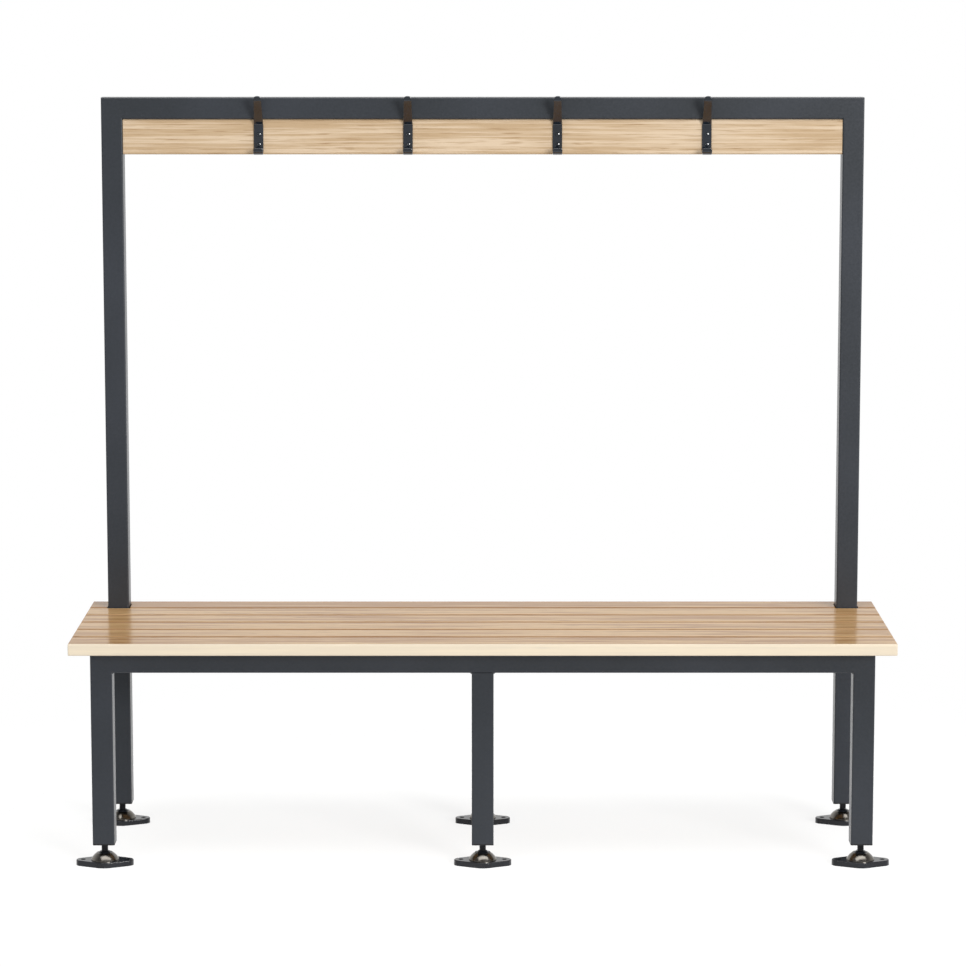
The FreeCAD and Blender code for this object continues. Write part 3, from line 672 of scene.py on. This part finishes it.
@dataclass(frozen=True)
class Screw:
    """A cross-recess wood screw along its own height, with its seat at zero."""

    radius: float = 4.0
    rim: float = 0.0
    crown: float = 0.8
    crown_power: float = 2.0
    sink: float = 2.0
    shank_radius: float = 2.0
    length: float = 18.0
    point: float = 4.0
    recess_half: float = 0.45
    recess_reach: float = 1.7
    recess_depth: float = 1.2
    recess_edge: float = 0.25
    sides: int = 48
    head_rings: int = 22
    head_start: float = 0.02
    tip_radius: float = 0.2

    def rings(self) -> np.ndarray:
        """Return the screw from the middle of its head to its point.

        The head's height is a rim plus a crown that falls with a power of the radius, less the recess:
        two bars across the middle whose depth falls off over a narrow edge. Below, a cone or a flat
        seat leads to the shank and its point.
        """
        share = np.linspace(self.head_start, 1, self.head_rings)
        height = self.rim + self.crown * (1 - share ** self.crown_power)
        head = lathe(share * self.radius, height, self.sides)
        across, up = np.abs(head[..., 0]), np.abs(head[..., 1])

        def bar(along: np.ndarray, beside: np.ndarray) -> np.ndarray:
            """Return how deep one bar is, from 0 to 1."""
            ends = np.clip((self.recess_reach - along) / self.recess_edge + 1, 0, 1)
            return ends * np.clip((self.recess_half - beside) / self.recess_edge + 1, 0, 1)

        head[..., 2] -= self.recess_depth * np.maximum(bar(across, up), bar(up, across))
        below = np.array([[self.radius, 0], [self.shank_radius, -self.sink],
                          [self.shank_radius, self.point - self.length],
                          [self.tip_radius, -self.length]])
        return np.concatenate([head, lathe(*below.T, self.sides)])


@dataclass
class Hooks:
    """The four double hooks of bent strip, their screws and the screws behind the board."""

    count: int = 4
    thickness: float = 3.0
    width: float = 18.0
    tip_width: float = 14.5
    lip_rise: float = 2.0
    lip_bend: float = 10.0
    lip_corner: float = 4.0
    plate: float = 41.0
    prong_bend: float = 10.0
    prong_angle: float = 35.0
    prong: float = 53.5
    tip_bend: float = 6.0
    tip_angle: float = 8.0
    tip: float = 6.0
    tip_corner: float = 6.0
    edge: float = 1.4
    step: float = 1.3
    corner_steps: int = 5
    end_steps: int = 7
    line_steps: int = 6001
    edge_share: float = 0.98
    flat_shares: tuple[float, ...] = (0.03, 0.35, 0.65, 0.97)
    screw_low: float = 7.0
    screw_rise: float = 19.0
    screw_clearance: float = 0.3
    hole_over: float = 1.0
    lug_screw_rise: float = 24.0
    raised: Screw = Screw()
    pan: Screw = Screw(rim=1.2, crown=1.3, crown_power=4.0, sink=0.0, length=19.0)

    def build(self, enamel: bpy.types.Material, zinc: bpy.types.Material) -> None:
        """Make the strips and the screws that show, and dress the hidden screws."""
        screws = Surface("hook_screw_set")
        for hook in range(1, self.count + 1):
            node = f"coat_hook_{hook}"
            low, high = corners(node)
            x = (low[0] + high[0]) / 2
            y = high[1] - self.thickness / 2
            z = low[2] + self.lip_bend + self.thickness / 2
            strip = Surface(f"hook_strip_{hook}")
            strip.shell(self.strip() + (x, y, z))
            holes = Surface("screw_holes")
            for rise in (self.screw_low, self.screw_low + self.screw_rise):
                face = np.array([x, y - self.thickness / 2, z + rise])
                holes.shell(self.forward(self.hole()) + face)
                screws.shell(self.forward(self.raised.rings()) + face)
            piece = strip.link()
            self.pierce(piece, holes.link())
            Fitting(FRAME_BODY, Slot.ENAMEL, enamel, (node,)).fit(piece)
        Fitting(FRAME_BODY, Slot.ENAMEL, enamel, ("hook_screws",)).fit(screws.link())
        behind = Surface("lug_screw_set")
        for lug in ("left_hook_rail_lug", "right_hook_rail_lug"):
            low, high = corners(lug)
            middle = (low + high) / 2
            for side in (-1, 1):
                seat = np.array([middle[0], high[1], middle[2] + side * self.lug_screw_rise / 2])
                behind.shell(self.forward(self.pan.rings()) * (-1, -1, 1) + seat)
        Fitting(FRAME_BODY, Slot.ZINC, zinc, ("lug_screws",)).fit(behind.link())
        dress("seat_screws", zinc)

    def forward(self, rings: np.ndarray) -> np.ndarray:
        """Turn rings whose own height is z so that it points to the front."""
        return rings[..., [0, 2, 1]] * (1, -1, 1)

    def hole(self) -> np.ndarray:
        """Return a cutter: a countersink that opens to the front and a hole right through."""
        screw, gap, over = self.raised, self.screw_clearance, self.hole_over
        narrow = screw.shank_radius + gap
        depth = screw.radius - screw.shank_radius
        radius = np.array([screw.radius + gap + over, narrow, narrow])
        return lathe(radius, np.array([over, -depth, -self.thickness - over]), screw.sides)

    def pierce(self, piece: bpy.types.Object, cutter: bpy.types.Object) -> None:
        """Take the cutter's shells out of a piece's mesh, and drop the cutter."""
        cut = piece.modifiers.new("screw_holes", "BOOLEAN")
        cut.object = cutter
        cut.solver = "EXACT"
        cut_piece = piece.evaluated_get(bpy.context.evaluated_depsgraph_get())
        mesh = bpy.data.meshes.new_from_object(cut_piece)
        piece.modifiers.clear()
        piece.data = mesh
        mesh.name = piece.name
        bpy.data.objects.remove(cutter)

    def strip(self) -> np.ndarray:
        """Carry a rounded section along the strip's middle line, from the lip to the tip.

        The line's heading turns evenly along each bend, and y and z are the running sums of minus its
        sine and of its cosine. The section narrows with height along the prong. Within a corner radius of
        either end its half width shrinks along a circle, and within the edge radius both halves do.

        Returns:
            Rings of points about the lower bend's height on the plate, as rings by sides by 3.
        """
        lean, end = math.radians(self.prong_angle), math.radians(self.tip_angle)
        lengths = [self.lip_rise, math.pi * self.lip_bend, self.plate, self.prong_bend * lean, self.prong,
                   self.tip_bend * (lean - end), self.tip]
        knots = np.concatenate([[0], np.cumsum(lengths)])
        headings = [-math.pi, -math.pi, 0, 0, lean, lean, end, end]
        total = knots[-1]
        quarter = 1 - np.cos(np.linspace(0, math.pi / 2, self.end_steps))
        near = np.concatenate([quarter * self.edge, quarter * self.lip_corner])
        far = total - np.concatenate([quarter * self.edge, quarter * self.tip_corner])
        even = np.arange(self.lip_corner, total - self.tip_corner, self.step)
        along = np.unique(np.concatenate([near, far, knots, even]).round(3))
        fine = np.linspace(0, total, self.line_steps)
        heading = np.interp(fine, knots, headings)
        ways = np.stack([-np.sin(heading), np.cos(heading)], axis=-1)
        sums = np.concatenate([[[0, 0]], np.cumsum((ways[1:] + ways[:-1]) / 2, axis=0)]) * fine[1]
        sums -= [np.interp(knots[2], fine, part) for part in sums.T]
        deep, up = (np.interp(along, fine, part) for part in sums.T)
        heading = np.interp(along, knots, headings)

        def inset(gap: np.ndarray, radius: float) -> np.ndarray:
            """Return how far a rounded end draws in at a distance from the end."""
            return radius - np.sqrt(radius ** 2 - np.clip(radius - gap, 0, radius) ** 2)

        drawn = inset(np.minimum(along, total - along), self.edge)
        half = np.interp(up, [self.plate, up[-1]], [self.width / 2, self.tip_width / 2])
        half -= drawn + inset(along, self.lip_corner) + inset(total - along, self.tip_corner)
        flat = self.rounded(half, self.thickness / 2 - drawn)
        x, thick = flat[..., 0], flat[..., 1]
        y = deep[:, None] + thick * np.cos(heading)[:, None]
        z = up[:, None] + thick * np.sin(heading)[:, None]
        return np.stack([x, y, z], axis=-1)

    def rounded(self, half_width: np.ndarray, half_depth: np.ndarray) -> np.ndarray:
        """Return rounded rectangles: quarter circles about four centres, with points along the flats.

        Args:
            half_width: Half of each section's width.
            half_depth: Half of each section's thickness.

        Returns:
            Points, as sections by sides by 2.
        """
        radius = np.minimum(np.full_like(half_depth, self.edge), half_depth * self.edge_share)
        turn = np.linspace(0, math.pi / 2, self.corner_steps + 1) + np.arange(4)[:, None] * math.pi / 2
        signs = np.array([[1, 1], [-1, 1], [-1, -1], [1, -1]])
        centres = np.stack([half_width - radius, half_depth - radius], axis=-1)[:, None, :] * signs
        round_part = radius[:, None, None, None] * np.stack([np.cos(turn), np.sin(turn)], axis=-1)
        arcs = centres[:, :, None, :] + round_part
        share = np.array(self.flat_shares)[:, None]
        flats = arcs[:, :, -1:] * (1 - share) + np.roll(arcs[:, :, :1], -1, axis=1) * share
        return np.concatenate([arcs, flats], axis=2).reshape(len(half_width), -1, 2)


@dataclass
class LevellingFeet:
    """The six bolt-down swivel feet, with threaded stems."""

    radius: float = 6.0
    spigot_radius: float = 4.5
    spigot: float = 17.0
    flat_start: float = 3.0
    flat_length: float = 8.0
    flat_half: float = 5.0
    neck: float = 1.0
    chamfer: float = 1.0
    pitch: float = 1.75
    thread_depth: float = 1.07
    crest: float = 0.125
    root: float = 0.75
    turn_steps: int = 8
    sides: int = 48
    least_sine: float = 0.01

    def build(self, plug: bpy.types.Material, stem: bpy.types.Material, nylon: bpy.types.Material,
              dome: bpy.types.Material) -> None:
        """Dress every foot's pieces and make its screw."""
        for foot in Foot:
            dress(f"{foot.value}_leg_plug", plug)
            dress(f"{foot.value}_foot_ball", nylon)
            dress(f"{foot.value}_foot_plate", nylon)
            dress(f"{foot.value}_foot_dome", dome)
            node = f"{foot.value}_foot_stem"
            low, high = corners(node)
            screw = Surface(f"{foot.value}_threaded_stem")
            middle = (low + high) / 2
            screw.shell(self.stem(high[2] - low[2]) + (middle[0], middle[1], low[2]))
            Fitting(f"{foot.value}_stem", Slot.BLACKENED, stem, (node,)).fit(screw.link())

    def stem(self, length: float) -> np.ndarray:
        """Turn the levelling screw, from the end of its spigot up.

        The radius is the spigot's, then the shank's, cut back at the flats to their half width over the
        sine of the turn. Above, it sinks by the thread's depth where the place in a helix, the height
        over the pitch less the share of a turn, lies away from the crest. The thread starts gently and
        ends in a chamfer.

        Args:
            length: From the spigot's end to the top.

        Returns:
            Rings of points, as rings by sides by 3.
        """
        turn = np.arange(self.sides) / self.sides
        shank = np.full(self.sides, self.radius)
        sine = np.maximum(np.abs(np.sin(2 * math.pi * turn)), self.least_sine)
        flats = np.minimum(shank, self.flat_half / sine)
        spigot = np.full(self.sides, self.spigot_radius)
        flat_low = self.spigot + self.flat_start
        flat_high = flat_low + self.flat_length
        begin = flat_high + self.neck
        plain = [(0.0, spigot - self.chamfer / 2), (self.chamfer / 2, spigot), (self.spigot, spigot),
                 (self.spigot, shank - self.chamfer / 2), (self.spigot + self.chamfer / 2, shank),
                 (flat_low, shank), (flat_low, flats), (flat_high, flats), (flat_high, shank)]
        rise = np.linspace(begin, length, int((length - begin) / self.pitch * self.turn_steps))[:, None]
        place = np.abs(2 * np.mod(rise / self.pitch - turn, 1) - 1)
        sunk = np.clip((place - self.crest) / (self.root - self.crest), 0, 1)
        sunk = sunk * np.clip((rise - begin) / self.pitch, 0, 1)
        end = self.radius - self.chamfer + length - rise
        thread = np.minimum(self.radius - self.thread_depth * sunk, end)
        height = np.concatenate([[row for row, ring in plain], rise[:, 0]])
        radius = np.concatenate([np.stack([ring for row, ring in plain]), thread])
        return lathe(radius, height, self.sides)


@dataclass(frozen=True)
class Softbox:
    """A large soft lamp that looks at the middle of the bench."""

    name: str
    power: float
    size: tuple[float, float]
    distance: float
    azimuth: float
    elevation: float

    def hang(self) -> None:
        """Hang the lamp at its bearing: azimuth from the front to the right, elevation up."""
        lamp = bpy.data.lights.new(self.name, "AREA")
        lamp.shape = "RECTANGLE"
        lamp.size, lamp.size_y = self.size
        lamp.energy = self.power
        softbox = bpy.data.objects.new(self.name, lamp)
        bpy.context.scene.collection.objects.link(softbox)
        azimuth, elevation = math.radians(self.azimuth), math.radians(self.elevation)
        middle = (np.array(CAD_BOX[0]) + np.array(CAD_BOX[1])) / 2
        away = np.array([math.sin(azimuth) * math.cos(elevation), -math.cos(azimuth) * math.cos(elevation),
                         math.sin(elevation)])
        softbox.location = middle + away * self.distance
        softbox.rotation_euler = (math.pi / 2 - elevation, 0.0, azimuth)


@dataclass
class Studio:
    """A pale floor, soft light and the camera at the photograph's angle."""

    floor_side: float = 14.0
    floor_columns: int = 29
    floor_albedo: float = 0.82
    floor_through: float = 0.8
    floor_shadow: float = 0.38
    shadow_reach: tuple[float, float] = (0.65, 1.6)
    ambient: float = 0.42
    zenith: float = 0.45
    front_wall: float = 0.35
    ceiling_rise: tuple[float, float] = (0.35, 0.8)
    wall_turn: tuple[float, float] = (-0.3, 0.6)
    lamps: tuple[Softbox, ...] = (Softbox("front_softbox", 1150.0, (5.0, 4.0), 14.0, 33.0, 13.0),
                                  Softbox("top_softbox", 166.0, (7.0, 2.4), 5.0, 12.0, 68.0))
    camera_place: tuple[float, float, float] = (0.0006, -6.2734, 1.6409)
    camera_pitch: float = 7.669
    focal_pixels: float = 3416.5
    optical_row: float = 425.0
    sensor: float = 36.0
    sight: float = 100.0

    def build(self) -> None:
        """Build floor, world, lamps and camera."""
        self.floor()
        self.world()
        for lamp in self.lamps:
            lamp.hang()
        self.camera()
        bpy.context.scene.view_settings.view_transform = "Standard"

    def seen(self, tree: bpy.types.NodeTree, *kinds: str) -> bpy.types.NodeSocket:
        """Return 1 for rays of the named kinds, else 0.

        Args:
            tree: The node tree to add to.
            kinds: Kinds of ray, such as "Camera".

        Returns:
            The value.
        """
        path = add(tree, "LightPath")
        shares = [path.outputs[f"Is {kind} Ray"] for kind in kinds]
        seen = shares[0]
        for share in shares[1:]:
            seen = add(tree, "Math", {0: seen, 1: share}, operation="MAXIMUM").outputs[0]
        return seen

    def floor(self) -> None:
        """Lay the floor: a flat grid of x and y at z of zero, which takes the shadows.

        Seen directly it is mostly the white backdrop with a share of lit floor that fades out round the
        bench, and all other light meets a plain pale floor.
        """
        steps = np.linspace(-0.5, 0.5, self.floor_columns) * self.floor_side
        across, deep = np.meshgrid(steps, steps)
        points = np.stack([across, deep, np.zeros_like(across)], axis=-1).reshape(-1, 3)
        index = np.arange(points.shape[0]).reshape(across.shape)
        quads = np.stack([index[:-1, :-1], index[:-1, 1:], index[1:, 1:], index[1:, :-1]], axis=-1)
        mesh = bpy.data.meshes.new("studio_floor")
        mesh.from_pydata(points.tolist(), [], quads.reshape(-1, 4).tolist())
        floor = bpy.data.objects.new("studio_floor", mesh)
        bpy.context.scene.collection.objects.link(floor)
        material = bpy.data.materials.new("pale_floor")
        material.use_nodes = True
        tree = material.node_tree
        tree.nodes.clear()
        place = add(tree, "TexCoord").outputs["Object"]
        away = add(tree, "VectorMath", {0: place}, operation="LENGTH").outputs["Value"]
        near, far = self.shadow_reach
        fade = add(tree, "MapRange", {"Value": away, "From Min": near, "From Max": far},
                   interpolation_type="SMOOTHSTEP").outputs["Result"]
        plain = add(tree, "BsdfDiffuse", {"Color": (*[self.floor_albedo] * 3, 1.0)})
        lit = add(tree, "BsdfDiffuse", {"Color": (*[self.floor_shadow] * 3, 1.0)})
        through = add(tree, "BsdfTransparent", {"Color": (*[self.floor_through] * 3, 1.0)})
        beside = add(tree, "AddShader", {0: lit.outputs[0], 1: through.outputs[0]})
        shown = add(tree, "MixShader", {0: fade, 1: beside.outputs[0],
                                        2: add(tree, "BsdfTransparent").outputs[0]})
        seen = self.seen(tree, "Camera", "Glossy", "Transmission")
        mixed = add(tree, "MixShader", {0: seen, 1: plain.outputs[0], 2: shown.outputs[0]})
        add(tree, "OutputMaterial", {"Surface": mixed.outputs[0]})
        mesh.materials.append(material)

    def world(self) -> None:
        """Light the room evenly: white backdrop, greyer ceiling and, in reflections, a dim front wall."""
        world = bpy.data.worlds.new("studio")
        bpy.context.scene.world = world
        world.use_nodes = True
        tree = world.node_tree
        tree.nodes.clear()
        way = add(tree, "SeparateXYZ", {0: add(tree, "TexCoord").outputs["Generated"]})
        low, high = self.ceiling_rise
        level = add(tree, "MapRange", {"Value": way.outputs["Z"], "From Min": low, "From Max": high,
                                       "To Min": 1.0, "To Max": self.zenith},
                    interpolation_type="SMOOTHSTEP").outputs["Result"]
        front, back = self.wall_turn
        wall = add(tree, "MapRange", {"Value": way.outputs["Y"], "From Min": front, "From Max": back,
                                      "To Min": self.front_wall, "To Max": 1.0},
                   interpolation_type="SMOOTHSTEP").outputs["Result"]
        share = add(tree, "MapRange", {"Value": self.seen(tree, "Camera", "Transmission"),
                                       "To Min": self.ambient, "To Max": 1.0}).outputs["Result"]
        share = add(tree, "Mix", {0: self.seen(tree, "Glossy"), 2: share, 3: wall}).outputs[0]
        strength = add(tree, "Math", {0: level, 1: share}, operation="MULTIPLY")
        light = add(tree, "Background", {"Color": (1.0, 1.0, 1.0, 1.0), "Strength": strength.outputs[0]})
        add(tree, "OutputWorld", {"Surface": light.outputs[0]})

    def camera(self) -> None:
        """Set the camera where the photograph was taken from."""
        lens = bpy.data.cameras.new("photo_camera")
        lens.sensor_width = self.sensor
        lens.lens = self.focal_pixels * self.sensor / IMAGE_SIDE
        lens.shift_y = (self.optical_row - IMAGE_SIDE / 2) / IMAGE_SIDE
        lens.clip_end = self.sight
        camera = bpy.data.objects.new("photo_camera", lens)
        camera.location = self.camera_place
        camera.rotation_euler = (math.radians(90 - self.camera_pitch), 0.0, 0.0)
        bpy.context.scene.collection.objects.link(camera)
        bpy.context.scene.camera = camera


def main() -> None:
    """Build every sub-assembly in order."""
    logging.basicConfig(level=logging.INFO, format="%(name)s %(message)s")
    SteelFrame().build(POWDER_COAT.make())
    Woodwork().build()
    Hooks().build(ENAMEL.make(), ZINC.make())
    LevellingFeet().build(POLYETHYLENE.make(), BLACKENED.make(), NYLON.make(), POLISHED.make())
    Studio().build()


if __name__ == "__main__":
    main()
